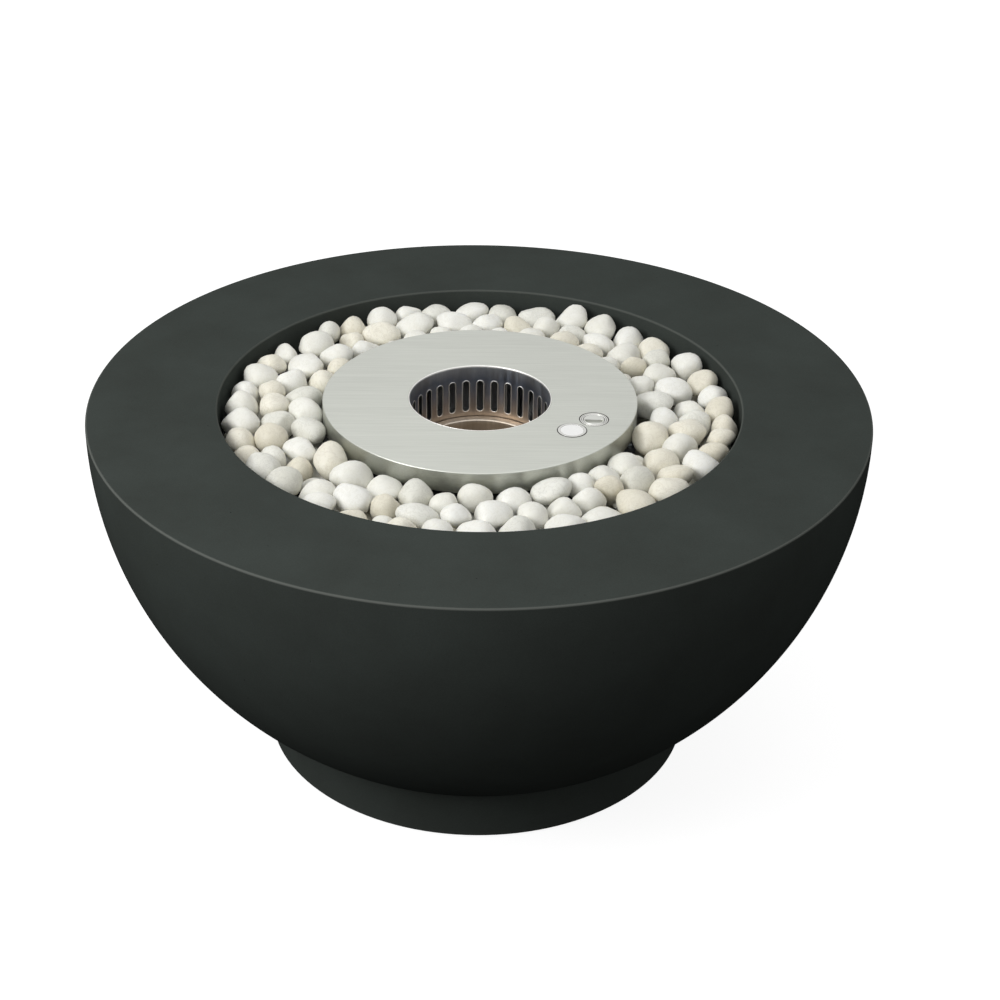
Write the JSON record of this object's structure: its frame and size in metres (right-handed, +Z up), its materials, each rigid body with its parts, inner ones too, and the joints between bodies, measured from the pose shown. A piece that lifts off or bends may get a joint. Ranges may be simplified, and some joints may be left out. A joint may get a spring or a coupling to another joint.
{
  "type": "ethanol fire pit",
  "caption": "Free-standing round fire bowl on a recessed foot, with a drop-in ethanol burner in a bed of loose pebbles and a latched filler cap.",
  "frame": {"origin": "centre of the foot on the ground", "axes": "+Z up along the bowl's axis, +X to the right as seen from the front, the filler cap and the badge at the right front"},
  "size_m": [1.005, 1.0048, 0.4915],
  "materials": {
    "cast_concrete": "matte, fine-grained, charcoal",
    "pad_rubber": "matte",
    "seal_rubber": "smooth",
    "brass_insert": "turned",
    "zinc_steel": "bright zinc",
    "black_plastic": "moulded",
    "fibre_gasket": "pressed fibre",
    "tray_steel": "black powder coat",
    "white_stone": "smooth, tumbled",
    "cream_stone": "smooth, tumbled",
    "grey_stone": "smooth, tumbled",
    "brushed_stainless": "straight brushed",
    "well_stainless": "heat tinted",
    "sheet_stainless": "mill finish",
    "polished_stainless": "polished",
    "badge_enamel": "bare white enamel"
  },
  "bodies": {
    "bowl": {"bowl_shell": "cast_concrete", "foot_ring": "cast_concrete", "foot_pads": "pad_rubber", "foot_inserts": "brass_insert", "foot_washers": "zinc_steel", "foot_bolts": "zinc_steel", "drain_bush": "black_plastic", "tray_gasket": "fibre_gasket", "media_tray": "tray_steel", "support_collar": "tray_steel", "seat_gasket": "fibre_gasket", "collar_screws": "zinc_steel", "collar_nuts": "zinc_steel", "pebbles_white": "white_stone", "pebbles_cream": "cream_stone", "pebbles_grey": "grey_stone"},
    "burner": {"burner_plate": "brushed_stainless", "fire_well": "well_stainless", "fuel_cup": "well_stainless", "tank_wall": "sheet_stainless", "tank_floor": "sheet_stainless", "tank_feet": "pad_rubber", "tank_baffles": "sheet_stainless", "filler_neck": "brushed_stainless", "catch_ring": "sheet_stainless", "neck_strainer": "sheet_stainless", "badge_ring": "polished_stainless", "badge_face_disc": "badge_enamel"},
    "filler_cap": {"filler_cap": "polished_stainless", "cap_seal": "seal_rubber"},
    "cap_latch": {"finger_turn": "brushed_stainless", "latch_bar": "sheet_stainless", "latch_clip": "zinc_steel"}
  },
  "joints": [
    {"name": "burner_lift", "type": "slide", "parent": "bowl", "child": "burner", "axis": [0, 0, 1], "range_m": [0, 0.13]},
    {"name": "cap_lift", "type": "slide", "parent": "burner", "child": "filler_cap", "axis": [0, 0, 1], "range_m": [0, 0.04]},
    {"name": "latch_turn", "type": "hinge", "parent": "filler_cap", "child": "cap_latch", "pos_m": [0.14464, -0.05844, 0.49], "axis": [0, 0, 1], "range_deg": [0, 90]}
  ]
}
